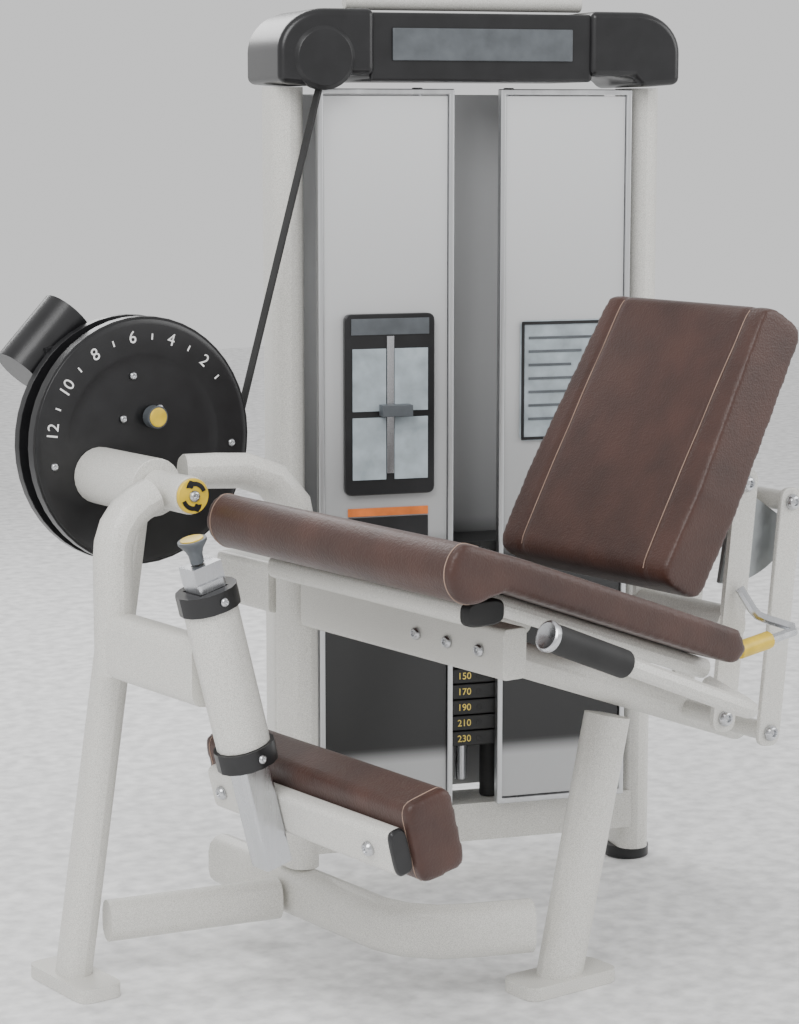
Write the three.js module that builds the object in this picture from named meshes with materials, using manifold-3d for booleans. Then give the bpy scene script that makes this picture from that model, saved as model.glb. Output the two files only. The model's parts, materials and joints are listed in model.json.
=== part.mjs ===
// Seated leg extension machine: tube frame, weight tower, knee cam, shin arm and sliding back pad.
// Millimetres, +Z up. While building, x = 0 and z = AXIS_Z is the knee axis and y = 0 the seat's
// middle plane. The user faces -X. The finished group is moved so that its origin is under the
// middle of its bounding box, on the floor.
import * as THREE from 'three';
import Module from 'manifold-3d';
import { mergeVertices } from 'three/addons/utils/BufferGeometryUtils.js';

const wasm = await Module();
wasm.setup();

const AXIS_Z = 730;              // height of the knee axis
const TUBE = [48, 74];           // oval frame tube, in its bending plane and across it
const SEAT_SLOPE = 0.3443;       // seat tilt, radians below horizontal towards the back
const ARM_LEAN = 0.2547;         // shin arm lean from vertical, radians
const BACK_LEAN = 0.513;         // back pad lean from vertical, radians
const SEAT_WIDTH = 566;
const COLUMN_X = 228;
const COLUMN_Y = 347;
const TOWER = { x: 702, y: 556, turn: -0.3316, half: 302, front: -62 };
const CAM = { x: 78, z: 776, radius: 186, front: 530, drum: 132 };
const BELT = { topX: 421, topZ: 1300.4, reach: 176, width: 16, thick: 4, y: 559.4 };
const PLATE = { count: 11, pitch: 26.4, thick: 25.6, low: 224, width: 210, depth: 104 };
const LINK = { frontX: 677, frontZ: 387, rearX: 770, rearZ: 352, dx: 36, dz: 342, y: 95 };
const BACK_PAD = { x: 613, z: 790, thick: 84, length: 426, width: 356 };
const FLOOR_GAP = 60;

const paint = { color: 0xe4e3dd, roughness: 0.45, metalness: 0.1 };
const black = { color: 0x141414, roughness: 0.4, metalness: 0.0 };
const steel = { color: 0xb9bcbe, roughness: 0.3, metalness: 0.9 };
const leather = { color: 0x3b2018, roughness: 0.55, metalness: 0.0 };
const clear = { color: 0xc4c8ca, roughness: 0.2, metalness: 0.0 };
const yellow = { color: 0xe0c02c, roughness: 0.4, metalness: 0.0 };
const slate = { color: 0x5d666b, roughness: 0.5, metalness: 0.1 };

const machine = new THREE.Group();
const tower = new THREE.Group();
tower.position.set(TOWER.x, TOWER.y, 0);
tower.rotation.z = TOWER.turn;
machine.add(tower);

function add(name, geometry, look, x = 0, y = 0, z = 0, parent = machine) {
  const mesh = new THREE.Mesh(geometry, new THREE.MeshStandardMaterial(look));
  mesh.name = name;
  mesh.position.set(x, y, z);
  parent.add(mesh);
  return mesh;
}

// One welded piece from overlapping geometries.
function weld(...pieces) {
  const solids = pieces.map((piece) => {
    const bare = piece.clone();
    bare.deleteAttribute('normal');
    bare.deleteAttribute('uv');
    const merged = mergeVertices(bare, 1e-3);
    return new wasm.Manifold(new wasm.Mesh({
      numProp: 3,
      vertProperties: new Float32Array(merged.attributes.position.array),
      triVerts: new Uint32Array(merged.index.array),
    }));
  });
  const mesh = solids.reduce((sum, solid) => sum.add(solid)).getMesh();
  const geometry = new THREE.BufferGeometry();
  geometry.setAttribute('position', new THREE.BufferAttribute(mesh.vertProperties, 3));
  geometry.setIndex(new THREE.BufferAttribute(mesh.triVerts, 1));
  geometry.computeVertexNormals();
  return geometry;
}

function at(geometry, x, y, z, tilt = 0) {
  return geometry.rotateY(tilt).translate(x, y, z);
}

function box(x, y, z) {
  return new THREE.BoxGeometry(x, y, z);
}

// A cylinder along Y, X or Z.
function rod(radius, length, axis = 'y', sides = 20) {
  const geometry = new THREE.CylinderGeometry(radius, radius, length, sides);
  if (axis === 'z') geometry.rotateX(Math.PI / 2);
  if (axis === 'x') geometry.rotateZ(Math.PI / 2);
  return geometry;
}

// An outline with round ends: a stadium that is wide along its first side.
function stadium(width, height, sides = 5) {
  const radius = Math.min(width, height) / 2 - 0.01;
  const shape = new THREE.Shape();
  const halfX = width / 2 - radius;
  const halfY = height / 2 - radius;
  const corners = [[halfX, halfY, 0], [-halfX, halfY, 1], [-halfX, -halfY, 2], [halfX, -halfY, 3]];
  for (const [cx, cy, quarter] of corners) {
    for (let i = 0; i < sides; i += 1) {
      const angle = (quarter + i / (sides - 1)) * Math.PI / 2;
      const point = [cx + radius * Math.cos(angle), cy + radius * Math.sin(angle)];
      if (quarter + i === 0) shape.moveTo(...point);
      else shape.lineTo(...point);
    }
  }
  return shape;
}

function roundedBox(width, height, depth, radius) {
  const shape = new THREE.Shape();
  const x = width / 2;
  const y = height / 2;
  shape.moveTo(x - radius, -y);
  shape.quadraticCurveTo(x, -y, x, -y + radius);
  shape.lineTo(x, y - radius);
  shape.quadraticCurveTo(x, y, x - radius, y);
  shape.lineTo(-x + radius, y);
  shape.quadraticCurveTo(-x, y, -x, y - radius);
  shape.lineTo(-x, -y + radius);
  shape.quadraticCurveTo(-x, -y, -x + radius, -y);
  const geometry = new THREE.ExtrudeGeometry(shape, { depth, bevelEnabled: false, curveSegments: 4 });
  return geometry.translate(0, 0, -depth / 2);
}

// An upright rectangular rim, open in the middle.
function rimFrame(width, height, depth, border) {
  const shape = new THREE.Shape();
  const hole = new THREE.Path();
  for (const [outline, x, y] of [[shape, width / 2, height / 2],
    [hole, width / 2 - border, height / 2 - border]]) {
    outline.moveTo(-x, -y);
    outline.lineTo(x, -y);
    outline.lineTo(x, y);
    outline.lineTo(-x, y);
    outline.closePath();
  }
  shape.holes.push(hole);
  const geometry = new THREE.ExtrudeGeometry(shape, { depth, bevelEnabled: false });
  return geometry.translate(0, 0, -depth / 2).rotateX(Math.PI / 2);
}

// A tube through the given points, with each inner corner rounded by the bend radius.
function bentTube(points, bend, section, steps) {
  const path = new THREE.CurvePath();
  const spots = points.map((p) => new THREE.Vector3(...p));
  let start = spots[0];
  for (let i = 1; i < spots.length - 1; i += 1) {
    const into = spots[i].clone().sub(spots[i - 1]).setLength(bend);
    const out = spots[i + 1].clone().sub(spots[i]).setLength(bend);
    const before = spots[i].clone().sub(into);
    const after = spots[i].clone().add(out);
    path.add(new THREE.LineCurve3(start, before));
    path.add(new THREE.QuadraticBezierCurve3(before, spots[i], after));
    start = after;
  }
  path.add(new THREE.LineCurve3(start, spots[spots.length - 1]));
  return new THREE.ExtrudeGeometry(section, { steps, extrudePath: path });
}

function straightTube(from, to, section) {
  const path = new THREE.LineCurve3(new THREE.Vector3(...from), new THREE.Vector3(...to));
  return new THREE.ExtrudeGeometry(section, { steps: 1, extrudePath: path });
}

const across = stadium(TUBE[1], TUBE[0]);
const beamZ = (x) => LINK.frontZ - Math.tan(SEAT_SLOPE) * (x - LINK.frontX);

function frame() {
  const baseZ = FLOOR_GAP + 40;
  const base = [[COLUMN_X, 560, baseZ], [COLUMN_X, 70, baseZ], [400, 5, baseZ]];
  add('base_tube', bentTube(base, 90, stadium(80, 50, 4), 14), paint);
  add('base_cross_tube', straightTube([-68, 410, 92], [195, 354, 92], stadium(62, 44)), paint);
  const footFront = at(roundedBox(70, 165, 20, 20), -116, 422, 10);
  const footSeat = at(roundedBox(165, 74, 20, 20), 452, 0, 10);
  const frontLeg = straightTube([-118, 425, 12], [-11, 425, 682], stadium(60, 48));
  const seatLeg = straightTube([449, 0, 12], [537, 0, 393], stadium(60, 70));
  add('front_leg', weld(frontLeg, footFront), paint);
  add('seat_leg', weld(seatLeg, footSeat), paint);
  add('column_tube', bentTube([[COLUMN_X, COLUMN_Y, 141], [COLUMN_X, COLUMN_Y, 744],
    [66, 402, 744]], 105, across, 16), paint);
  add('pivot_housing', rod(42, 164, 'y', 24), paint, 0, 447.5, AXIS_Z + 1);
  add('seat_cross_beam', roundedBox(40, 70, 474, 8).rotateX(Math.PI / 2), paint,
    COLUMN_X, 72, 549);
  const beamStart = [COLUMN_X + 30, 0, beamZ(COLUMN_X + 30)];
  const beam = straightTube(beamStart, [800, 0, beamZ(800)], stadium(50, 50));
  const frontPin = at(rod(14, 2 * LINK.y - 8.6, 'y', 16), LINK.frontX, 0, LINK.frontZ);
  const rearPin = at(rod(14, 2 * LINK.y - 8.6, 'y', 16), LINK.rearX, 0, LINK.rearZ);
  add('seat_beam', weld(beam, frontPin, rearPin), paint);
  const stub = at(roundedBox(50, 76, 140, 10).rotateX(Math.PI / 2), COLUMN_X, 455, 560);
  const reach = straightTube([240, 462, 560], [382, 602, 560], stadium(60, 40));
  add('tower_link', weld(stub, reach), paint);
}

function seatFrame() {
  const railY = SEAT_WIDTH / 2 - 55;
  const railZ = (x) => 646 - Math.tan(SEAT_SLOPE) * (x - 118);
  const front = at(roundedBox(62, 32, 440, 14).rotateX(Math.PI / 2), 118, -8, 628);
  const rails = [-204, 184].map((y) => straightTube([135, y, railZ(135)], [530, y, railZ(530)],
    stadium(34, 28)));
  add('seat_frame', weld(front, ...rails), paint);
  const handles = [['near', -328, -railY + 2, 0], ['far', 318, railY - 22, 133]];
  for (const [side, y, inner, back] of handles) {
    const drop = back * 0.404;
    const path = [[278 + back, y, 556 - drop], [520, y, 458], [520, inner, 480]];
    add(`handle_${side}`, bentTube(path, 40, stadium(26, 26, 3), 14), paint);
    const grip = add(`grip_${side}`, rod(19, 140, 'x'), black, 212 + back, y, 583 - drop);
    grip.rotation.y = 0.385;
  }
}

// Seat pad: a thick roll along its front edge and a flat cushion that falls to the back.
function seatPad() {
  const shape = new THREE.Shape();
  const rollX = 69;
  const rollZ = 691;
  const slope = Math.tan(SEAT_SLOPE);
  const radius = 42;
  const top = (x) => rollZ + 38 - slope * (x - rollX);
  const thick = 50;
  shape.moveTo(150, top(150));
  shape.lineTo(530, top(530));
  shape.lineTo(542, top(542) - thick / 2);
  shape.lineTo(522, top(522) - thick);
  shape.lineTo(120, top(120) - thick);
  const steps = 10;
  for (let i = 0; i <= steps; i += 1) {
    const angle = -1.05 - (i / steps) * 3.3;
    shape.lineTo(rollX + radius * Math.cos(angle), rollZ + radius * Math.sin(angle));
  }
  const geometry = new THREE.ExtrudeGeometry(shape, { depth: SEAT_WIDTH, bevelEnabled: false });
  geometry.rotateX(Math.PI / 2);
  add('seat_pad', geometry, leather, 0, SEAT_WIDTH / 2, 0);
}

function kneeCam() {
  const y = CAM.front;
  const rim = CAM.radius;
  const section = [[0, 0], [rim, 0], [rim, 16], [CAM.drum, 16.4], [CAM.drum, 42.4], [rim, 42.8],
    [rim, 56.8], [0, 56.8]];
  const wheel = new THREE.LatheGeometry(section.map(([r, h]) => new THREE.Vector2(r, h)), 48);
  add('cam_wheel', wheel, black, CAM.x, y, CAM.z);
  add('cam_shaft', rod(24, 30, 'y', 16), steel, 0, y + 72.2, AXIS_Z);
  const arm = at(box(50, 12, 150), -16, y + 63.4, 846, -0.14);
  const weight = at(rod(42, 118, 'x', 24), -27, y + 108, 920, -Math.PI / 4);
  add('counterweight', weld(arm, weight), black);
  add('start_plunger', rod(17, 20, 'y', 16), yellow, 92, y - 10.4, 812);
}

// The belt runs straight from the tower's top to the cam; the cam carries its wrapped part.
function belt() {
  const dx = BELT.topX - CAM.x;
  const dz = BELT.topZ - CAM.z;
  const far = Math.hypot(dx, dz);
  const lean = Math.atan2(dx, dz) - Math.asin(BELT.reach / far);
  const length = Math.sqrt(far * far - BELT.reach * BELT.reach) + 45;
  const run = add('belt_run', box(BELT.thick, BELT.width, length), black,
    BELT.topX - Math.sin(lean) * length / 2, BELT.y, BELT.topZ - 1.5 - Math.cos(lean) * length / 2);
  run.rotation.y = lean;
  const wrap = new THREE.Shape();
  const inner = CAM.drum + 0.5;
  wrap.absarc(0, 0, inner + BELT.thick, lean, lean + Math.PI, false);
  wrap.absarc(0, 0, inner, lean + Math.PI, lean, true);
  const strip = new THREE.ExtrudeGeometry(wrap, { depth: BELT.width, bevelEnabled: false,
    curveSegments: 16 });
  strip.translate(0, 0, -BELT.width / 2).rotateX(Math.PI / 2);
  add('belt_wrap', strip, black, CAM.x, BELT.y, CAM.z).rotation.y = Math.PI;
}

function inputArm() {
  add('arm_hub', rod(27, 92, 'y', 24), paint, 0, 319, AXIS_Z);
  add('pivot_cap', rod(25, 6, 'y', 24), yellow, 0, 269.6, AXIS_Z);
  const bend = [[-38, 318, AXIS_Z - 2], [-102, 318, AXIS_Z - 26], [-102, 318, 482]];
  const curve = bentTube(bend, 60, stadium(60, 52), 12);
  const cross = at(roundedBox(50, 92, 224, 20).rotateX(Math.PI / 2), -100, 189.4, 524);
  add('c_arm', weld(curve, cross), paint);
}

// The shin slide leans with the arm; its own z runs along the sleeve.
function shinSlide() {
  const slide = new THREE.Group();
  slide.position.set(-94, 40, 525);
  slide.rotation.y = -ARM_LEAN;
  machine.add(slide);
  const sleeve = sleeveShape(74, 44.6);
  add('arm_sleeve', sleeve(196), paint, 0, 0, 0, slide);
  for (const [name, z] of [['sleeve_collar_top', 112], ['sleeve_collar_low', -112]]) {
    add(name, sleeveShape(84, 44.6)(27), black, 0, 0, z, slide);
  }
  const block = at(box(44, 36, 26), 0, 0, 147.4);
  add('shin_tube', weld(at(roundedBox(42, 42, 412, 5), 0, 0, -68), block), steel, 0, 0, 0, slide);
  const knob = [[0, 0], [9, 0], [10, 14], [20, 28], [20, 33], [0, 35]];
  const knobShape = knob.map(([r, h]) => new THREE.Vector2(r, h));
  add('latch_knob', new THREE.LatheGeometry(knobShape, 20).rotateX(Math.PI / 2), yellow,
    0, 0, 160.8, slide);
  add('shin_bracket', roundedBox(26, 62, 420, 10).rotateX(Math.PI / 2), paint, 35, -52, -208, slide);
  add('shin_pad', roundedBox(74, 112, 480, 16).rotateX(Math.PI / 2), leather, 86, -40, -205, slide);
}

function sleeveShape(outer, inner) {
  return (length) => {
    const shape = stadium(outer, outer - 6);
    const hole = new THREE.Path();
    const half = inner / 2;
    hole.moveTo(-half, -half);
    hole.lineTo(-half, half);
    hole.lineTo(half, half);
    hole.lineTo(half, -half);
    hole.closePath();
    shape.holes.push(hole);
    const geometry = new THREE.ExtrudeGeometry(shape, { depth: length, bevelEnabled: false });
    return geometry.translate(0, 0, -length / 2);
  };
}

function backLinkage() {
  const lean = Math.atan2(LINK.dx, LINK.dz);
  const length = Math.hypot(LINK.dx, LINK.dz) + 42;
  const span = 2 * LINK.y;
  const plates = (x, z) => [-LINK.y, LINK.y].map((y) => at(
    roundedBox(44, length, 8, 18).rotateX(Math.PI / 2), x + LINK.dx / 2, y, z + LINK.dz / 2, lean));
  const topX = LINK.frontX + LINK.dx;
  const topZ = LINK.frontZ + LINK.dz;
  const spacer = at(rod(29, span, 'y', 20), topX - 22, 0, topZ - 208);
  add('front_link', weld(...plates(LINK.frontX, LINK.frontZ), spacer), paint);
  const tie = at(rod(15, span, 'y', 16), LINK.rearX + LINK.dx, 0, LINK.rearZ + LINK.dz);
  add('rear_link', weld(...plates(LINK.rearX, LINK.rearZ), tie), paint);
  const hub = at(rod(15, span - 9, 'y', 16), topX, 0, topZ);
  const post = at(roundedBox(62, 150, 100, 8).rotateX(Math.PI / 2), BACK_PAD.x + 73.6 * Math.cos(BACK_LEAN),
    0, BACK_PAD.z - 73.6 * Math.sin(BACK_LEAN), BACK_LEAN);
  add('pad_carrier', weld(hub, post), paint);
  const sector = new THREE.Shape();
  sector.absarc(0, 0, 150, -1.75, -0.55, false);
  sector.absarc(0, 0, 30, -0.55, -1.75, true);
  const sectorPlate = new THREE.ExtrudeGeometry(sector, { depth: 8, bevelEnabled: false,
    curveSegments: 8 });
  add('hole_sector', sectorPlate.rotateX(Math.PI / 2), slate, topX, -66, topZ);
  const pad = roundedBox(BACK_PAD.thick, BACK_PAD.length, BACK_PAD.width, 24).rotateX(Math.PI / 2);
  add('back_pad', pad, leather, BACK_PAD.x, 0, BACK_PAD.z).rotation.y = BACK_LEAN;
  const handle = [[topX - 20, -108, topZ - 150], [topX - 4, -128, topZ - 190],
    [topX + 62, -150, topZ - 214], [topX + 4, -150, topZ - 222]];
  add('back_lever', bentTube(handle, 12, stadium(14, 14, 3), 14), steel);
  add('lever_grip', rod(13, 62, 'x', 16), yellow,
    topX - 30, -150, topZ - 226).rotation.y = -0.14;
}

function towerFrame() {
  const posts = [-TOWER.half, TOWER.half].map((x) => at(new THREE.ExtrudeGeometry(
    stadium(54, 96), { depth: 1280, bevelEnabled: false }), x, 0, 20.4));
  add('tower_frame', weld(...posts, at(box(2 * TOWER.half, 90, 64), 0, 0, 92)), paint, 0, 0, 0, tower);
  for (const [side, x] of [['left', -TOWER.half], ['right', TOWER.half]]) {
    add(`tower_foot_${side}`, rod(38, 20, 'z', 24), black, x, 0, 10, tower);
  }
  const hood = roundedBox(670, 120, 200, 50).rotateX(Math.PI / 2);
  add('tower_hood', hood, black, 0, 0, 1361.2, tower);
  add('hood_bar', rod(14, 400, 'x', 20), paint, 0, 0, 1435.6, tower);
  for (const [side, x] of [['left', -151], ['right', 153]]) {
    add(`shield_${side}`, box(206, 5, 1150), clear, x, TOWER.front, 712, tower);
  }
  for (const [side, x] of [['left', -151], ['right', 153]]) {
    add(`shield_rim_${side}`, rimFrame(226, 1172, 16, 9), steel, x, TOWER.front, 712, tower);
  }
  add('rear_shield', box(540, 5, 1160), clear, 0, -TOWER.front, 710, tower);
  add('console', roundedBox(150, 290, 12, 12).rotateX(Math.PI / 2), black, -148,
    TOWER.front - 9, 800, tower);
  add('placard', roundedBox(148, 196, 4, 10).rotateX(Math.PI / 2), clear, 150, TOWER.front - 5, 830, tower);
  for (const [side, x] of [['left', -78], ['right', 78]]) {
    add(`guide_rod_${side}`, rod(9, 1176, 'z', 16), steel, x, 0, 712.6, tower);
  }
}

function plateShape(width, depth, stem) {
  const shape = new THREE.Shape();
  shape.moveTo(-width / 2, -depth / 2);
  shape.lineTo(width / 2, -depth / 2);
  shape.lineTo(width / 2, depth / 2);
  shape.lineTo(-width / 2, depth / 2);
  shape.closePath();
  for (const [x, radius] of stem ? [[-78, 10.5], [0, 14], [78, 10.5]] : [[-78, 10.5], [78, 10.5]]) {
    const hole = new THREE.Path();
    hole.absarc(x, 0, radius, 0, 2 * Math.PI, true);
    shape.holes.push(hole);
  }
  return shape;
}

function weightStack() {
  const settings = { bevelEnabled: false, curveSegments: 6 };
  const groups = [['resting_plates', 0, PLATE.count - 3], ['lifted_plates', PLATE.count - 3, 3]];
  for (const [name, first, count] of groups) {
    const block = new THREE.ExtrudeGeometry(plateShape(PLATE.width, PLATE.depth, true),
      { ...settings, depth: count * PLATE.pitch - 0.8 });
    add(name, block, black, 0, 0, PLATE.low + first * PLATE.pitch, tower);
  }
  const top = PLATE.low + PLATE.count * PLATE.pitch;
  const head = new THREE.ExtrudeGeometry(plateShape(PLATE.width, PLATE.depth, false),
    { ...settings, depth: 52 });
  add('head_plate', head, black, 0, 0, top + 0.4, tower);
  add('selector_stem', rod(11, top - 156, 'z', 16), steel, 0, 0, (top + 156) / 2, tower);
  const pinZ = PLATE.low + (PLATE.count - 3) * PLATE.pitch + PLATE.thick / 2;
  add('selector_pin', rod(9, 44, 'y', 16), yellow, 0, -PLATE.depth / 2 - 22.4, pinZ, tower);
  add('adjuster_knob', rod(24, 56, 'y', 20), black, 1, -PLATE.depth / 2 - 28.4, top + 28, tower);
  for (const [side, x] of [['left', -50], ['right', 50]]) {
    add(`stack_bumper_${side}`, rod(16, 98, 'z', 16), black, x, 0, PLATE.low - 50, tower);
  }
}

frame();
seatFrame();
seatPad();
kneeCam();
belt();
inputArm();
shinSlide();
backLinkage();
towerFrame();
weightStack();

machine.updateMatrixWorld(true);
const bounds = new THREE.Box3().setFromObject(machine, true);
const middle = bounds.getCenter(new THREE.Vector3());
machine.position.set(-middle.x, -middle.y, -bounds.min.z);
machine.updateMatrixWorld(true);

export default machine;
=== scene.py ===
"""Looks of the leg extension machine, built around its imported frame. Metres, +Z up."""
import json
import math

import bmesh
import bpy
from mathutils import Matrix, Vector
from mathutils.bvhtree import BVHTree


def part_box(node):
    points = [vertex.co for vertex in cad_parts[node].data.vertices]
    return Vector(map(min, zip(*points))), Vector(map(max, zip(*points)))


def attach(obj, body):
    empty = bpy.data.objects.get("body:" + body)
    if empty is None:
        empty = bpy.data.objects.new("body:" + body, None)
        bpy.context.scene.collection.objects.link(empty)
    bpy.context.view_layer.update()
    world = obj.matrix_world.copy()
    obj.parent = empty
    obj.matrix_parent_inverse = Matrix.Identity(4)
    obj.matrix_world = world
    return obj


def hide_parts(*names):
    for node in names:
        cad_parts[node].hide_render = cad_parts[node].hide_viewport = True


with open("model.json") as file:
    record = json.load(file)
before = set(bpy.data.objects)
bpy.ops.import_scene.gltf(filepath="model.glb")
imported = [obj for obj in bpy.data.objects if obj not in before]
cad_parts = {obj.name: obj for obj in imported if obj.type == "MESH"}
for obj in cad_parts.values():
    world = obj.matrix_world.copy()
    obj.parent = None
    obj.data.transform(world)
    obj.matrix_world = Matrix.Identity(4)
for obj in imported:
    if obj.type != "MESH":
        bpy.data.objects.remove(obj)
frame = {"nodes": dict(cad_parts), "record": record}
NODES = frame["nodes"]
RECORD = frame["record"]
BODY_OF = {node: body for body, group in RECORD["behaviour"]["bodies"].items() for node in group}
SLOT_OF = {part["node"]: part["material_slot"] for part in RECORD["subparts"]}
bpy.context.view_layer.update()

# The camera looks across the seat's near side towards the tower.
VIEW_TURN = math.radians(36.7)
VIEW_DROP = math.radians(8.65)
CAMERA_PLACE = (-2.3425, -2.9693, 1.25)
CAMERA_LENS = 90.7
TOWER_TURN = -0.3316
BACK_LEAN = 0.513
ARM_LEAN = 0.2547
GRIP_LEAN = 0.385
DIAL_FIRST = 171
DIAL_STEP = 12.4
DIAL_RING_INSET = 0.030
PLATE_WIDTH = 0.21
PLATE_DEPTH = 0.104
PLATE_GAP = 0.0018
HEAVIEST_PLATE = 230
PLATE_STEP = 20
SEAM_INSET = 0.045
SHARP_ANGLE = 38


# ---------------------------------------------------------------- materials

def material(name, color, rough, metal=0.0):
    mat = bpy.data.materials.new(name)
    mat.use_nodes = True
    shader = mat.node_tree.nodes["Principled BSDF"]
    shader.inputs["Base Color"].default_value = (*color, 1)
    shader.inputs["Roughness"].default_value = rough
    shader.inputs["Metallic"].default_value = metal
    return mat, mat.node_tree, shader


def noise(tree, scale, detail=3.0, stretch=(1, 1, 1)):
    """Noise in object space, stretched along an axis where asked."""
    place = tree.nodes.new("ShaderNodeTexCoord")
    turn = tree.nodes.new("ShaderNodeMapping")
    turn.inputs["Scale"].default_value = stretch
    grain = tree.nodes.new("ShaderNodeTexNoise")
    grain.inputs["Scale"].default_value = scale
    grain.inputs["Detail"].default_value = detail
    tree.links.new(place.outputs["Object"], turn.inputs["Vector"])
    tree.links.new(turn.outputs["Vector"], grain.inputs["Vector"])
    return grain.outputs["Fac"]


def ramp(tree, source, low, high, start=0.3, end=0.7):
    node = tree.nodes.new("ShaderNodeValToRGB")
    node.color_ramp.elements[0].position = start
    node.color_ramp.elements[0].color = (*low, 1)
    node.color_ramp.elements[1].position = end
    node.color_ramp.elements[1].color = (*high, 1)
    tree.links.new(source, node.inputs["Fac"])
    return node.outputs["Color"]


def bump(tree, shader, source, strength, distance):
    node = tree.nodes.new("ShaderNodeBump")
    node.inputs["Strength"].default_value = strength
    node.inputs["Distance"].default_value = distance
    tree.links.new(source, node.inputs["Height"])
    tree.links.new(node.outputs["Normal"], shader.inputs["Normal"])


def grey(level):
    return (level, level, level)


def powder_coat():
    mat, tree, shader = material("powder_coat", (0.68, 0.665, 0.62), 0.42)
    speckle = noise(tree, 900)
    tree.links.new(ramp(tree, speckle, (0.52, 0.51, 0.475), (0.80, 0.79, 0.745), 0.36, 0.62),
                   shader.inputs["Base Color"])
    bump(tree, shader, noise(tree, 700), 0.35, 0.0004)
    shader.inputs["Coat Weight"].default_value = 0.15
    return mat


def leather():
    mat, tree, shader = material("leather", (0.05, 0.018, 0.012), 0.46)
    shade = ramp(tree, noise(tree, 14), (0.036, 0.0125, 0.008), (0.062, 0.023, 0.015))
    tree.links.new(shade, shader.inputs["Base Color"])
    place = tree.nodes.new("ShaderNodeTexCoord")
    cells = tree.nodes.new("ShaderNodeTexVoronoi")
    cells.inputs["Scale"].default_value = 330
    tree.links.new(place.outputs["Object"], cells.inputs["Vector"])
    mix = tree.nodes.new("ShaderNodeMath")
    mix.operation = "MULTIPLY_ADD"
    tree.links.new(cells.outputs["Distance"], mix.inputs[0])
    mix.inputs[1].default_value = 0.8
    tree.links.new(noise(tree, 120), mix.inputs[2])
    bump(tree, shader, mix.outputs[0], 0.45, 0.0009)
    shader.inputs["Sheen Weight"].default_value = 0.12
    return mat


def plastic(name, color, rough, grain=350, strength=0.15):
    mat, tree, shader = material(name, color, rough)
    darker = tuple(c * 0.8 for c in color)
    lighter = tuple(min(1, c * 1.25) for c in color)
    tree.links.new(ramp(tree, noise(tree, 30), darker, lighter), shader.inputs["Base Color"])
    bump(tree, shader, noise(tree, grain), strength, 0.0004)
    return mat


def brushed(name, color, rough, stretch):
    mat, tree, shader = material(name, color, rough, 1.0)
    lines = noise(tree, 60, 4, stretch)
    tree.links.new(ramp(tree, lines, tuple(c * 0.86 for c in color), color),
                   shader.inputs["Base Color"])
    tree.links.new(ramp(tree, lines, grey(rough * 0.8), grey(min(1, rough * 1.3))),
                   shader.inputs["Roughness"])
    bump(tree, shader, lines, 0.06, 0.0003)
    return mat


def smoked_sheet():
    """Frosted sheet with painted light: a painted reflection makes it bright above, and painted shade makes
    it dark where the weights and base show through.
    """
    mat, tree, shader = material("smoked_sheet", (0.6, 0.61, 0.62), 0.26)
    place = tree.nodes.new("ShaderNodeTexCoord")
    split = tree.nodes.new("ShaderNodeSeparateXYZ")
    tree.links.new(place.outputs["Object"], split.inputs[0])
    height = tree.nodes.new("ShaderNodeMapRange")
    height.inputs["From Min"].default_value = 0.12
    height.inputs["From Max"].default_value = 1.3
    tree.links.new(split.outputs["Z"], height.inputs["Value"])
    painted_light_bands = tree.nodes.new("ShaderNodeValToRGB")
    # Painted light down the sheet: pale low down, then a dark painted shade band where the weights and base
    # lie behind it, then a painted reflection that grows brighter towards the top.
    stops = [(0.0, 0.50), (0.075, 0.46), (0.095, 0.03), (0.36, 0.035), (0.40, 0.40), (0.62, 0.58),
             (1.0, 0.72)]
    for position, level in stops[1:-1]:
        painted_light_bands.color_ramp.elements.new(position)
    for element, (position, level) in zip(painted_light_bands.color_ramp.elements, stops):
        element.position = position
        element.color = (level, level * 1.01, level * 1.02, 1)
    tree.links.new(height.outputs["Result"], painted_light_bands.inputs["Fac"])
    tree.links.new(painted_light_bands.outputs["Color"], shader.inputs["Base Color"])
    shader.inputs["Metallic"].default_value = 0.25
    bump(tree, shader, noise(tree, 8, 1), 0.05, 0.002)
    return mat


MATERIALS = {
    "frame_paint": powder_coat(),
    "black_plastic": plastic("black_plastic", (0.012, 0.012, 0.013), 0.3),
    "black_rubber": plastic("black_rubber", (0.014, 0.014, 0.014), 0.6, 500, 0.4),
    "bright_steel": brushed("bright_steel", (0.62, 0.63, 0.65), 0.26, (1, 1, 0.05)),
    "aluminium_rail": brushed("aluminium_rail", (0.70, 0.71, 0.72), 0.34, (1, 1, 0.03)),
    "clear_shield": smoked_sheet(),
    "label_grey": plastic("label_grey", (0.34, 0.39, 0.42), 0.35, 200, 0.05),
    "slate_plate": brushed("slate_plate", (0.40, 0.42, 0.43), 0.45, (1, 0.2, 1)),
    "yellow_plastic": plastic("yellow_plastic", (0.72, 0.50, 0.035), 0.34),
    "weight_iron": plastic("weight_iron", (0.010, 0.010, 0.010), 0.42, 600, 0.5),
    "brown_leather": leather(),
}
THREAD = plastic("thread", (0.32, 0.22, 0.17), 0.7)
WHITE_INK = plastic("white_ink", (0.85, 0.85, 0.83), 0.5)
YELLOW_INK = plastic("yellow_ink", (0.75, 0.58, 0.12), 0.5)
ORANGE_INK = plastic("orange_ink", (0.62, 0.16, 0.03), 0.45)
GREY_PLASTIC = plastic("grey_plastic", (0.09, 0.10, 0.11), 0.4)


# ------------------------------------------------------------- shape helpers

def piece(name, mesh, mat, body, slot, place=None):
    obj = bpy.data.objects.new(name, mesh)
    bpy.context.collection.objects.link(obj)
    obj.data.materials.clear()
    obj.data.materials.append(mat)
    if place is not None:
        obj.matrix_world = place
    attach(obj, body)
    return obj


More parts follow.
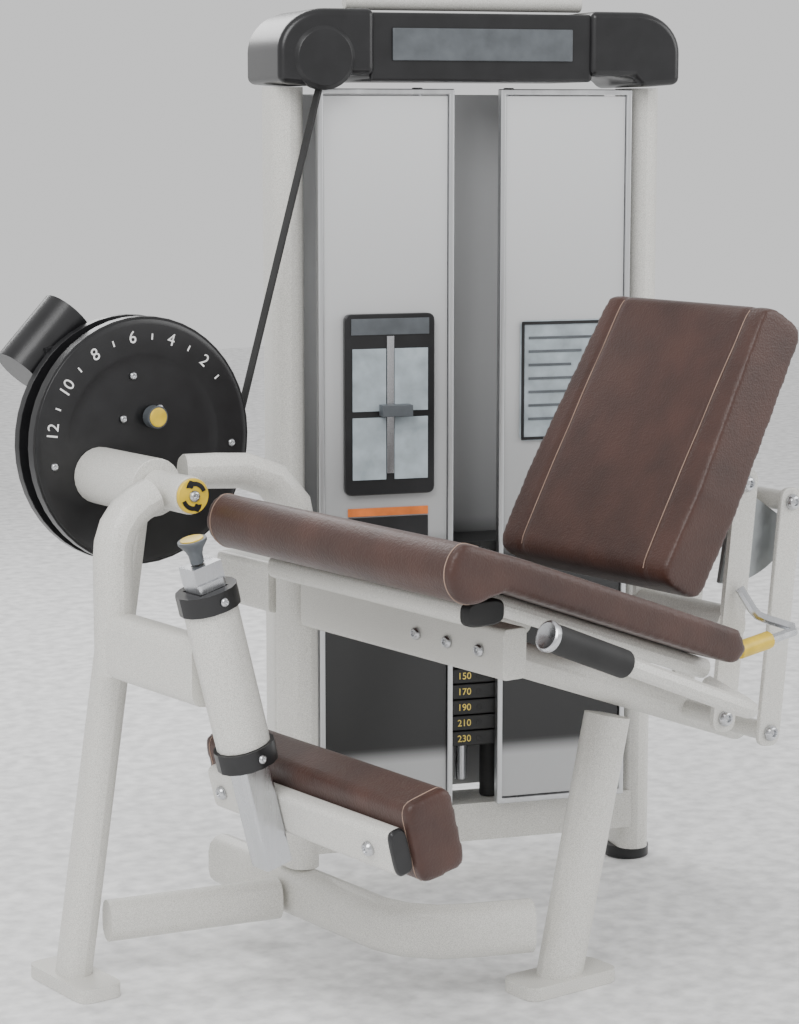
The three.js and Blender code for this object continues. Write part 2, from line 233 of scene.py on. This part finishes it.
def smooth(obj, width=0.0, segments=2):
    """Round the sharp edges and shade the rest smoothly."""
    for face in obj.data.polygons:
        face.use_smooth = True
    if width:
        rounding = obj.modifiers.new("rounding", "BEVEL")
        rounding.width = width
        rounding.segments = segments
        rounding.limit_method = "ANGLE"
        rounding.angle_limit = math.radians(SHARP_ANGLE)
    obj.modifiers.new("weights", "WEIGHTED_NORMAL")
    return obj


def refined(node, width=0.002, segments=2):
    """A finer copy of a CAD node: merged, flat faces joined, edges rounded."""
    mesh = NODES[node].data.copy()
    work = bmesh.new()
    work.from_mesh(mesh)
    bmesh.ops.remove_doubles(work, verts=work.verts, dist=1e-5)
    bmesh.ops.dissolve_limit(work, angle_limit=math.radians(1), verts=work.verts, edges=work.edges)
    bmesh.ops.recalc_face_normals(work, faces=work.faces)
    work.to_mesh(mesh)
    work.free()
    obj = piece(node + "_finished", mesh, MATERIALS[SLOT_OF[node]], BODY_OF[node], SLOT_OF[node])
    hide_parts(node)
    return smooth(obj, width, segments)


def from_points(name, build):
    mesh = bpy.data.meshes.new(name)
    work = bmesh.new()
    build(work)
    bmesh.ops.recalc_face_normals(work, faces=work.faces)
    work.to_mesh(mesh)
    work.free()
    return mesh


def loft(name, rings):
    """A closed skin over equal rings of points, capped at both ends."""
    def build(work):
        rows = [[work.verts.new(p) for p in ring] for ring in rings]
        count = len(rings[0])
        for low, high in zip(rows, rows[1:]):
            for i in range(count):
                j = (i + 1) % count
                work.faces.new((low[i], low[j], high[j], high[i]))
        work.faces.new(list(reversed(rows[0])))
        work.faces.new(rows[-1])
    return from_points(name, build)


def turned(name, profile, mat, body, slot, place, sides=32):
    """A solid of revolution about its own Z, from (radius, height) pairs."""
    rings = []
    for radius, height in profile:
        step = 2 * math.pi / sides
        rings.append([(max(radius, 1e-5) * math.cos(i * step), max(radius, 1e-5) * math.sin(i * step),
                       height) for i in range(sides)])
    return smooth(piece(name, loft(name, rings), mat, body, slot, place), 0.0006, 1)


def super_ring(half_x, half_y, power, count):
    """A rounded rectangle as (x, y) pairs."""
    ring = []
    for i in range(count):
        angle = 2 * math.pi * (i + 0.5) / count
        c, s = math.cos(angle), math.sin(angle)
        ring.append((half_x * math.copysign(abs(c) ** power, c),
                     half_y * math.copysign(abs(s) ** power, s)))
    return ring


def facing(origin, axis):
    """A place at origin whose Z points along the axis."""
    turn = Vector(axis).to_track_quat("Z", "Y").to_matrix().to_4x4()
    return Matrix.Translation(origin) @ turn


def screw(name, origin, axis, body, radius=0.009):
    head = [(radius, 0), (radius, radius * 0.35), (radius * 0.75, radius * 0.75),
            (radius * 0.42, radius * 0.85), (radius * 0.36, radius * 0.45), (0, radius * 0.42)]
    return turned(name, head, MATERIALS["bright_steel"], body, "bright_steel",
                  facing(origin, axis), 20)


def thread(name, points, body):
    """A line of stitching along the given points."""
    curve = bpy.data.curves.new(name, "CURVE")
    curve.dimensions = "3D"
    curve.bevel_depth = 0.0009
    curve.bevel_resolution = 1
    line = curve.splines.new("POLY")
    line.points.add(len(points) - 1)
    for spot, point in zip(line.points, points):
        spot.co = (*point, 1)
    curve.materials.append(THREAD)
    obj = bpy.data.objects.new(name, curve)
    bpy.context.collection.objects.link(obj)
    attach(obj, body)
    return obj


def number(text, place, size, mat, body):
    words = bpy.data.curves.new("number_" + text, "FONT")
    words.body = text
    words.size = size
    words.extrude = 0.0003
    words.align_x = "CENTER"
    words.align_y = "CENTER"
    words.materials.append(mat)
    obj = bpy.data.objects.new("number_" + text, words)
    bpy.context.collection.objects.link(obj)
    obj.matrix_world = place
    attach(obj, body)
    return obj


def middle(node):
    low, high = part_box(node)
    return (low + high) / 2


# -------------------------------------------------------------------- camera

def camera_and_stage():
    data = bpy.data.cameras.new("camera")
    data.lens = CAMERA_LENS
    camera = bpy.data.objects.new("camera", data)
    bpy.context.collection.objects.link(camera)
    camera.location = CAMERA_PLACE
    look = Vector((math.sin(VIEW_TURN) * math.cos(VIEW_DROP),
                   math.cos(VIEW_TURN) * math.cos(VIEW_DROP), -math.sin(VIEW_DROP)))
    camera.rotation_euler = look.to_track_quat("-Z", "Y").to_euler()
    bpy.context.scene.camera = camera
    floor_mesh = from_points("floor", lambda work: work.faces.new(
        [work.verts.new(p) for p in [(-9, -9, 0), (9, -9, 0), (9, 9, 0), (-9, 9, 0)]]))
    floor = bpy.data.objects.new("floor", floor_mesh)
    bpy.context.collection.objects.link(floor)
    floor.location.z = -0.0005
    floor.data.materials.append(plastic("floor_paint", (0.86, 0.86, 0.86), 0.7, 100, 0.02))
    world = bpy.data.worlds.new("studio")
    bpy.context.scene.world = world
    world.use_nodes = True
    world.node_tree.nodes["Background"].inputs["Color"].default_value = (1, 1, 1, 1)
    world.node_tree.nodes["Background"].inputs["Strength"].default_value = 0.85
    lamps = [("key", (-2.6, -1.6, 3.2), 2.2, 110), ("fill", (2.8, -2.6, 2.4), 2.4, 60),
             ("rim", (0.4, 3.2, 2.8), 2.0, 60)]
    for name, spot, size, power in lamps:
        lamp = bpy.data.lights.new(name, "AREA")
        lamp.size = size
        lamp.energy = power
        light = bpy.data.objects.new(name, lamp)
        bpy.context.collection.objects.link(light)
        light.location = spot
        light.rotation_euler = (Vector((0, 0, 0.7)) - Vector(spot)).to_track_quat("-Z", "Y").to_euler()


# ---------------------------------------------------------------------- pads

def cushion(node, reshape=None):
    """A fine relaxed skin over the cushion's solid, reshaped point by point where asked."""
    cover = piece(node + "_cover", NODES[node].data.copy(), MATERIALS["brown_leather"],
                  BODY_OF[node], "brown_leather")
    skin = cover.modifiers.new("skin", "REMESH")
    skin.mode = "VOXEL"
    skin.voxel_size = 0.006
    relax = cover.modifiers.new("relax", "SMOOTH")
    relax.iterations = 6
    bpy.context.view_layer.update()
    graph = bpy.context.evaluated_depsgraph_get()
    mesh = bpy.data.meshes.new_from_object(cover.evaluated_get(graph))
    cover.modifiers.clear()
    cover.data = mesh
    for point in mesh.vertices:
        if reshape:
            point.co = reshape(point.co)
    for face in mesh.polygons:
        face.use_smooth = True
    mesh.materials.clear()
    mesh.materials.append(MATERIALS["brown_leather"])
    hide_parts(node)
    return cover


def surface(cover):
    return BVHTree.FromPolygons([point.co for point in cover.data.vertices],
                                [face.vertices[:] for face in cover.data.polygons])


def round_seam(name, cover, hub, y, start, end, body):
    """Stitching round a roll, from one angle to another about a hub that lies inside it."""
    tree = surface(cover)
    points = []
    for i in range(49):
        angle = math.radians(start + (end - start) * i / 48)
        hit = tree.ray_cast((hub[0], y, hub[1]), (math.cos(angle), 0, math.sin(angle)))[0]
        if hit:
            points.append(hit)
    if len(points) > 1:
        thread(name, points, body)


def back_pad():
    """Tapered crowned cushion: widest low down, with two sewn channels along its front."""
    low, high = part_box("back_pad")
    place = Matrix.Translation(middle("back_pad")) @ Matrix.Rotation(BACK_LEAN, 4, "Y")
    back = place.inverted()
    half_length = max((back @ point.co).z for point in NODES["back_pad"].data.vertices)
    half_width = (high.y - low.y) / 2

    def reshape(point):
        local = back @ point
        share = local.z / half_length
        local.y *= 1.035 - 0.10 * max(0, share + 0.35) / 1.35 - 0.03 * max(0, -share - 0.35)
        crown = 0.005 * (1 - min(1, abs(local.y) / half_width) ** 2) * (1 - share * share)
        channel = 0.003 * math.exp(-((abs(local.y) - half_width + SEAM_INSET) / 0.005) ** 2)
        local.x += (channel - crown) if local.x < 0 else crown
        return place @ local

    cover = cushion("back_pad", reshape)
    tree = surface(cover)
    out = (place.to_3x3() @ Vector((1, 0, 0))).normalized()
    for side, sign in (("near", -1), ("far", 1)):
        points = []
        for i in range(41):
            z = half_length * (0.94 - 1.88 * i / 40)
            start = place @ Vector((-0.2, sign * (half_width - SEAM_INSET), z))
            hit = tree.ray_cast(start, out)[0]
            if hit:
                points.append(hit)
        thread(f"back_pad_seam_{side}", points, "carrier")


def seat_pad():
    """Sloping cushion with a thick roll along its front, and a seamed panel at each end."""
    low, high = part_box("seat_pad")
    cover = cushion("seat_pad")
    hub = (low.x + 0.042, high.z - 0.042)
    for side, y in (("near", low.y + 0.014), ("far", high.y - 0.014)):
        round_seam(f"seat_seam_{side}", cover, hub, y, 70, 290, "frame")


def shin_pad():
    """Firm roll with soft edges and a seamed panel at each end."""
    low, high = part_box("shin_pad")
    cover = cushion("shin_pad")
    centre = middle("shin_pad")
    for side, y in (("near", low.y + 0.014), ("far", high.y - 0.014)):
        round_seam(f"shin_seam_{side}", cover, (centre.x, centre.z), y, 0, 360, "shin")


# --------------------------------------------------------------------- tower

def tower_place():
    low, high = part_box("tower_hood")
    return Matrix.Translation(((low.x + high.x) / 2, (low.y + high.y) / 2, 0)) @ \
        Matrix.Rotation(TOWER_TURN, 4, "Z")


def tower_front(node, place):
    """How far forward a node reaches, measured square to the tower's face."""
    back = place.inverted()
    return min((back @ point.co).y for point in NODES[node].data.vertices)


def slab(name, size, centre, mat, body, slot, place, width=0.002):
    """A box of the given size with rounded edges, placed by a matrix."""
    def build(work):
        bmesh.ops.create_cube(work, size=1)
        bmesh.ops.scale(work, vec=size, verts=work.verts)
        bmesh.ops.translate(work, vec=centre, verts=work.verts)
    return smooth(piece(name, from_points(name, build), mat, body, slot, place), width, 3)


def hood(place):
    """Moulded hood: two rounded shoulders and a set-back band between them."""
    for side, sign in (("left", -1), ("right", 1)):
        rings = []
        for share in range(13):
            angle = math.pi / 2 * share / 12
            x = 0.335 - 0.075 * (1 - math.sin(angle))
            z = 1.355 + 0.065 * math.cos(angle)
            rings.append((x, z))
        outline = [(0.18, 1.42)] + rings + [(0.335, 1.306), (0.27, 1.301), (0.255, 1.318),
                                                   (0.18, 1.318)]
        sides = [[(sign * x, y, z) for x, z in outline] for y in (-0.104, 0.1)]
        obj = piece(f"hood_shoulder_{side}", loft("hood_shoulder", sides),
                    MATERIALS["black_plastic"], "frame", "black_plastic", place)
        if side == "left":
            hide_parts("tower_hood")
        smooth(obj, 0.012, 4)
    slab("hood_band", (0.372, 0.19, 0.106), (0, 0, 1.362), MATERIALS["black_plastic"], "frame",
         "black_plastic", place, 0.006)
    slab("hood_plate", (0.30, 0.004, 0.05), (0, -0.0975, 1.366), GREY_PLASTIC, "frame",
         "black_plastic", place, 0.0015)
    drum = place @ Matrix.Translation((-0.262, -0.085, 1.345)) @ Matrix.Rotation(math.pi / 2, 4, "X")
    turned("pulley_cover", [(0.05, 0), (0.05, 0.018), (0.043, 0.024), (0, 0.026)],
           MATERIALS["black_plastic"], "frame", "black_plastic", drum)


def plates():
    """Each weight plate as its own slab, with a number tag on the front."""
    turn = Matrix.Rotation(TOWER_TURN, 4, "Z")
    for node, count, first in (("resting_plates", 8, 0), ("lifted_plates", 3, 8)):
        low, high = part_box(node)
        place = Matrix.Translation(((low.x + high.x) / 2, (low.y + high.y) / 2, 0)) @ turn
        pitch = (high.z - low.z + 0.0008) / count
        for i in range(count):
            z = low.z + pitch * (i + 0.5)
            obj = slab(f"{node}_{i + 1}", (PLATE_WIDTH, PLATE_DEPTH, pitch - PLATE_GAP), (0, 0, z),
                       MATERIALS["weight_iron"], BODY_OF[node], "weight_iron", place, 0.0025)
            if i == 0:
                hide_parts(node)
            tag = place @ Matrix.Translation((-0.012, -0.0523, z)) @ \
                Matrix.Rotation(math.pi / 2, 4, "X")
            number(str(HEAVIEST_PLATE - PLATE_STEP * (first + i)), tag, 0.016, YELLOW_INK,
                   BODY_OF[node])
            hole = place @ Matrix.Translation((0.014, -0.0521, z)) @ \
                Matrix.Rotation(math.pi / 2, 4, "X")
            turned(f"{node}_hole_{i + 1}", [(0.0055, 0), (0.0055, 0.0004), (0.004, 0.0006), (0, 0.0002)],
                   MATERIALS["black_rubber"], BODY_OF[node], "weight_iron", hole, 16)


def signs(place):
    """Blank instruction boards with plain coloured fields in place of print."""
    front = tower_front("console", place) - 0.001
    frame_y = tower_front("placard", place) - 0.001
    sheet_y = tower_front("shield_left", place) - 0.001
    for name, size, centre, mat in (
            ("board_head", (0.13, 0.002, 0.026), (-0.148, front, 0.925), GREY_PLASTIC),
            ("board_left", (0.056, 0.002, 0.10), (-0.183, front, 0.84), MATERIALS["label_grey"]),
            ("board_right", (0.056, 0.002, 0.10), (-0.113, front, 0.84), MATERIALS["label_grey"]),
            ("board_low_left", (0.056, 0.002, 0.10), (-0.183, front, 0.73), MATERIALS["label_grey"]),
            ("board_low_right", (0.056, 0.002, 0.10), (-0.113, front, 0.73), MATERIALS["label_grey"]),
            ("board_slot", (0.012, 0.004, 0.22), (-0.148, front, 0.80), MATERIALS["bright_steel"]),
            ("board_grip", (0.05, 0.022, 0.018), (-0.142, front - 0.012, 0.792), GREY_PLASTIC),
            ("notice_dark", (0.135, 0.002, 0.065), (-0.148, sheet_y, 0.585), MATERIALS["black_plastic"]),
            ("notice_orange", (0.135, 0.0024, 0.013), (-0.148, sheet_y, 0.626), ORANGE_INK),
            ("placard_rim_top", (0.144, 0.002, 0.005), (0.15, frame_y, 0.924), MATERIALS["black_plastic"]),
            ("placard_rim_low", (0.144, 0.002, 0.005), (0.15, frame_y, 0.736), MATERIALS["black_plastic"]),
            ("placard_rim_left", (0.005, 0.002, 0.188), (0.08, frame_y, 0.83), MATERIALS["black_plastic"]),
            ("placard_rim_right", (0.005, 0.002, 0.188), (0.22, frame_y, 0.83), MATERIALS["black_plastic"])):
        slab(name, size, centre, mat, "frame", "black_plastic", place, 0.0006)
    for i in range(7):
        slab(f"placard_line_{i + 1}", (0.11 - 0.018 * (i % 3), 0.001, 0.004),
             (0.145 - 0.009 * (i % 3), frame_y, 0.90 - i * 0.022), GREY_PLASTIC, "frame",
             "label_grey", place, 0.0003)


# ----------------------------------------------------------------- knee cam

def cam_face():
    """Dished dial with its ring of numbers, screws and the start pin's yellow button."""
    low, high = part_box("cam_wheel")
    centre = Vector(((low.x + high.x) / 2, low.y, (low.z + high.z) / 2))
    radius = (high.x - low.x) / 2
    place = facing(centre, (0, -1, 0))
    rim = [(radius - 0.001, -0.006), (radius - 0.004, 0.001), (radius - 0.012, 0.003),
           (radius - 0.052, 0.003), (radius - 0.058, 0.0008), (radius - 0.075, 0.0004), (0, 0.0004)]
    turned("dial_face", rim, MATERIALS["black_plastic"], "cam", "black_plastic", place, 72)
    ring = radius - DIAL_RING_INSET
    for index, value in enumerate(range(12, 0, -1)):
        angle = math.radians(DIAL_FIRST - index * DIAL_STEP)
        spot = centre + Vector((ring * math.cos(angle), -0.0036, ring * math.sin(angle)))
        stand = Matrix.Translation(spot) @ Matrix.Rotation(-(angle - math.pi / 2), 4, "Y") @ \
            Matrix.Rotation(math.pi / 2, 4, "X")
        if value % 2 == 0:
            number(str(value), stand, 0.026, WHITE_INK, "cam")
        else:
            slab(f"tick_{value}", (0.0024, 0.009, 0.0006), (0, 0, 0), WHITE_INK, "cam",
                 "black_plastic", stand, 0.0001)
    for degrees, reach in ((100, 0.10), (60, 0.055), (190, 0.155), (-5, 0.155), (135, 0.05)):
        angle = math.radians(degrees)
        spot = centre + Vector((reach * math.cos(angle), -0.0015, reach * math.sin(angle)))
        screw(f"dial_screw_{degrees + 5}", spot, (0, -1, 0), "cam", 0.006)
    pin = middle("start_plunger")
    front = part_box("start_plunger")[0].y
    turned("start_button", [(0.017, 0.0195), (0.017, 0.003), (0.014, 0)][::-1],
           GREY_PLASTIC, "start_pull", "yellow_plastic",
           facing((pin.x, front + 0.0195, pin.z), (0, -1, 0)))
    cap = turned("start_button_face", [(0.0145, -0.001), (0.0145, 0.0012), (0.012, 0.0022), (0, 0.0025)],
                 MATERIALS["yellow_plastic"], "start_pull", "yellow_plastic",
                 facing((pin.x, front, pin.z), (0, -1, 0)))
    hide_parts("start_plunger")


def pivot_face():
    """Yellow cap on the knee axis with two curved arrows and a centre screw."""
    low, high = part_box("pivot_cap")
    centre = middle("pivot_cap")
    cap = turned("axis_cap", [(0.025, -0.005), (0.025, 0.0004), (0.0235, 0.0012), (0, 0.0012)],
                 MATERIALS["yellow_plastic"], "arm", "yellow_plastic",
                 facing((centre.x, low.y + 0.001, centre.z), (0, -1, 0)), 48)
    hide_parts("pivot_cap")
    for half in (0, 1):
        start = half * math.pi + 0.35
        points = []
        for i in range(9):
            angle = start + i / 8 * 2.0
            points.append((0.0175 * math.cos(angle), 0.0175 * math.sin(angle), 0.002))
        inner = []
        outer = []
        for i, (x, y, z) in enumerate(points):
            width = 0.0032 if i < 6 else 0.0062 * (8 - i) / 2 + 0.0002
            size = math.hypot(x, y)
            inner.append((x * (size - width) / size, y * (size - width) / size, z))
            outer.append((x * (size + width) / size, y * (size + width) / size, z))

        def build(work):
            low_row = [work.verts.new(p) for p in inner]
            high_row = [work.verts.new(p) for p in outer]
            for i in range(8):
                work.faces.new((low_row[i], low_row[i + 1], high_row[i + 1], high_row[i]))
        arrow = piece(f"axis_arrow_{half + 1}", from_points("arrow", build),
                      MATERIALS["black_plastic"], "arm", "yellow_plastic",
                      facing((centre.x, low.y + 0.001, centre.z), (0, -1, 0)))
        arrow.modifiers.new("thick", "SOLIDIFY").thickness = 0.0006
    screw("axis_screw", (centre.x, low.y, centre.z), (0, -1, 0), "arm", 0.0085)


# ------------------------------------------------------------------ fittings

def latch():
    """Flared pull knob: slate stem with a yellow disc let into its top."""
    low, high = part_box("latch_knob")
    up = Vector((-math.sin(ARM_LEAN), 0, math.cos(ARM_LEAN)))
    foot = middle("latch_knob") - up * 0.0178
    stem = turned("latch_stem", [(0.009, 0), (0.0095, 0.012), (0.012, 0.019), (0.0195, 0.029),
                                 (0.0195, 0.033), (0, 0.0335)], GREY_PLASTIC, "latch",
                  "yellow_plastic", facing(foot, up))
    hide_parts("latch_knob")
    turned("latch_disc", [(0.0155, 0.0325), (0.0155, 0.0345), (0, 0.035)],
           MATERIALS["yellow_plastic"], "latch", "yellow_plastic", facing(foot, up))


def adjuster():
    """Lobed hand knob with a yellow face on the top plate."""
    centre = middle("adjuster_knob")
    out = Vector((math.sin(TOWER_TURN), -math.cos(TOWER_TURN), 0))
    base = centre - out * 0.0278
    rings = []
    for height, size in ((0, 0.8), (0.03, 0.8), (0.034, 1), (0.05, 1), (0.0555, 0.9)):
        ring = []
        for i in range(64):
            angle = 2 * math.pi * i / 64
            reach = size * (0.0222 + 0.0016 * math.cos(8 * angle))
            ring.append((reach * math.cos(angle), reach * math.sin(angle), height))
        rings.append(ring)
    knob = piece("adjuster_grip", loft("adjuster_grip", rings), MATERIALS["black_plastic"],
                 "adjuster", "black_plastic", facing(base, out))
    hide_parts("adjuster_knob")
    smooth(knob, 0.001, 2)
    turned("adjuster_face", [(0.0145, 0.0545), (0.0145, 0.0562), (0, 0.0566)],
           MATERIALS["yellow_plastic"], "adjuster", "yellow_plastic", facing(base, out))


def fasteners():
    """Screws and caps where pieces are bolted together."""
    low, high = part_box("front_link")
    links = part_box("rear_link")
    front_low = (low.x + 0.022, low.y - 0.0002, low.z + 0.021)
    front_top = (high.x - 0.0235, low.y - 0.0002, high.z - 0.021)
    rear_low = (links[0].x + 0.022, links[0].y - 0.0002, links[0].z + 0.021)
    rear_top = (links[1].x - 0.0235, links[0].y - 0.0002, links[1].z - 0.021)
    for name, spot, body in (("front_low", front_low, "front_arm"), ("front_top", front_top, "front_arm"),
                             ("rear_low", rear_low, "rear_arm"), ("rear_top", rear_top, "rear_arm")):
        screw(f"link_screw_{name}", spot, (0, -1, 0), body, 0.012)
    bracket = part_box("shin_bracket")
    side = Vector((-math.cos(ARM_LEAN), 0, -math.sin(ARM_LEAN)))
    centre = middle("shin_bracket") + side * 0.0131
    for name, y in (("near", bracket[0].y + 0.045), ("far", bracket[1].y - 0.03)):
        screw(f"bracket_screw_{name}", (centre.x, y, centre.z), side, "shin", 0.010)
    for node in ("sleeve_collar_top", "sleeve_collar_low"):
        spot = middle(node)
        screw(node + "_screw", (spot.x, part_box(node)[0].y - 0.0002, spot.z), (0, -1, 0), "arm", 0.006)
    cap_place = Matrix.Translation((middle("shin_bracket").x, bracket[0].y - 0.004,
                                    middle("shin_bracket").z)) @ Matrix.Rotation(-ARM_LEAN, 4, "Y")
    ring = super_ring(0.0132, 0.0315, 0.5, 32)
    sides = [[(x * s, y, z * s) for x, z in ring] for y, s in ((0.0035, 1), (-0.001, 1), (-0.004, 0.9))]
    smooth(piece("bracket_cap", loft("bracket_cap", sides), MATERIALS["black_plastic"], "shin",
                 "black_plastic", cap_place), 0.0008, 2)
    axis = Vector((-math.cos(GRIP_LEAN), 0, math.sin(GRIP_LEAN)))
    end = middle("grip_near") + axis * 0.0702
    turned("grip_end", [(0.020, -0.006), (0.0208, 0.001), (0.0175, 0.0035), (0.012, 0.001), (0, 0.0008)],
           MATERIALS["bright_steel"], "frame", "bright_steel", facing(end, axis))
    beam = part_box("seat_cross_beam")
    for i in range(3):
        spot = (beam[0].x - 0.0002, beam[0].y + 0.05 + 0.07 * i, beam[0].z + 0.035)
        screw(f"beam_screw_{i + 1}", spot, (-1, 0, 0), "frame", 0.009)
    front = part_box("seat_frame")
    cap = super_ring(0.033, 0.0175, 0.6, 32)
    cap_x = front[0].x + 0.031
    cap_z = 0.628
    rows = [[(x * s, y, z * s) for x, z in cap] for y, s in ((0.0, 1), (-0.008, 1), (-0.013, 0.85))]
    smooth(piece("seat_tube_cap", loft("seat_tube_cap", rows), MATERIALS["black_rubber"], "frame",
                 "black_rubber", Matrix.Translation((cap_x, front[0].y, cap_z))), 0.0008, 2)


# --------------------------------------------------------------------- build

camera_and_stage()
BUILT_APART = {"seat_pad", "back_pad", "shin_pad", "tower_hood", "resting_plates", "lifted_plates",
               "start_plunger", "pivot_cap", "latch_knob", "adjuster_knob"}
SHARP = {"shield_left", "shield_right", "rear_shield", "belt_run", "belt_wrap", "cam_wheel"}
for node_name in sorted(NODES):
    if node_name in BUILT_APART:
        continue
    refined(node_name, 0.0008 if node_name in SHARP else 0.002)
TOWER = tower_place()
seat_pad()
back_pad()
shin_pad()
hood(TOWER)
plates()
signs(TOWER)
cam_face()
pivot_face()
latch()
adjuster()
fasteners()
